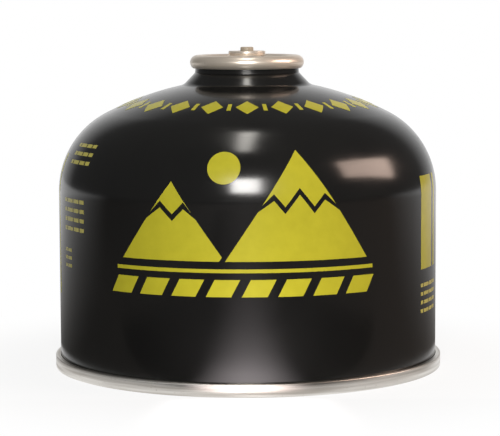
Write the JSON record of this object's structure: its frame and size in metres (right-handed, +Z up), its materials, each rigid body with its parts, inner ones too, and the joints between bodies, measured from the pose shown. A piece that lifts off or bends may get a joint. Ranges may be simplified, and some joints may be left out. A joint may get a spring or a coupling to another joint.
{
  "type": "screw-on camping gas canister",
  "caption": "Squat domed steel gas canister with a seamed bottom, a rolled neck ring and a threaded self-sealing valve with a spring-loaded stem.",
  "frame": {"origin": "centre of the foot ring, on the surface that the canister stands on", "axes": "+Z up along the canister's axis; the object is turned round Z, so X and Y are any two level directions; the picture looks along +Y"},
  "size_m": [0.1108, 0.1108, 0.0911],
  "materials": {
    "black_lacquer": "glossy black lacquer on drawn steel, with yellow print",
    "tinplate": "bare rolled tinplate, fine rubbed lines",
    "cup_tinplate": "bright pressed tinplate",
    "grey_rubber": "matt sealing rubber",
    "black_rubber": "matt black sealing rubber",
    "white_plastic": "moulded, satin",
    "spring_steel": "bright drawn wire",
    "tan_plastic": "moulded, satin, grey-beige"
  },
  "bodies": {
    "canister": {"vessel": "black_lacquer", "bottom_end": "tinplate", "valve_cup": "cup_tinplate", "cup_gasket": "grey_rubber", "stem_seal": "black_rubber", "valve_housing": "white_plastic", "valve_spring": "spring_steel"},
    "stem": {"valve_stem": "tan_plastic"}
  },
  "joints": [
    {"name": "stem_press", "type": "slide", "parent": "canister", "child": "stem", "axis": [0, 0, -1], "range_m": [0, 0.0011], "stiffness_N_per_m": 5000, "springref_m": -0.0012, "deforming": ["valve_spring"]}
  ]
}
